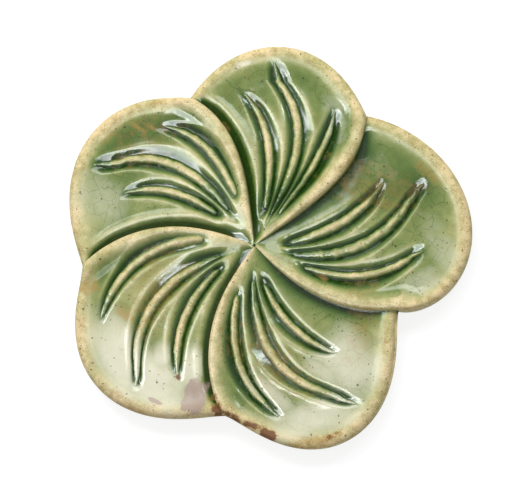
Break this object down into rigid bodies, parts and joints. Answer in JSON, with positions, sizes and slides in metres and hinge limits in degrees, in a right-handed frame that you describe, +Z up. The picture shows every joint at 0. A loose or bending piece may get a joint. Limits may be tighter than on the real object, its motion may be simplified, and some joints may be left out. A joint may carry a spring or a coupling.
{
  "type": "mixing palette",
  "caption": "Small hand-built glazed stoneware palette shaped as a pinwheel flower of overlapping dished petals with raised veins, for mixing paint.",
  "frame": {"origin": "centre of the flower on the flat underside of the round foot", "axes": "+Z up out of the wells, +Y along the first petal, +X to its clockwise side seen from above"},
  "size_m": [0.1202, 0.1145, 0.0093],
  "materials": {
    "green_glaze": "glossy translucent green crackle glaze over speckled tan stoneware",
    "glazed_crest": "glaze broken thin to tan on the raised crest",
    "slip": "matt fired slip, hidden in the lap",
    "bare_clay": "matt unglazed speckled stoneware"
  },
  "bodies": {
    "root": {"foot_disc": "bare_clay", "petal_1": "green_glaze", "slip_joint_1": "slip", "petal_1_right_vein": "glazed_crest", "petal_1_middle_vein": "glazed_crest", "petal_1_left_vein": "glazed_crest", "petal_2": "green_glaze", "slip_joint_2": "slip", "petal_2_right_vein": "glazed_crest", "petal_2_middle_vein": "glazed_crest", "petal_2_left_vein": "glazed_crest", "petal_3": "green_glaze", "slip_joint_3": "slip", "petal_3_right_vein": "glazed_crest", "petal_3_middle_vein": "glazed_crest", "petal_3_left_vein": "glazed_crest", "petal_4": "green_glaze", "slip_joint_4": "slip", "petal_4_right_vein": "glazed_crest", "petal_4_middle_vein": "glazed_crest", "petal_4_left_vein": "glazed_crest", "petal_5": "green_glaze", "slip_joint_5": "slip", "petal_5_right_vein": "glazed_crest", "petal_5_middle_vein": "glazed_crest", "petal_5_left_vein": "glazed_crest"}
  },
  "joints": []
}
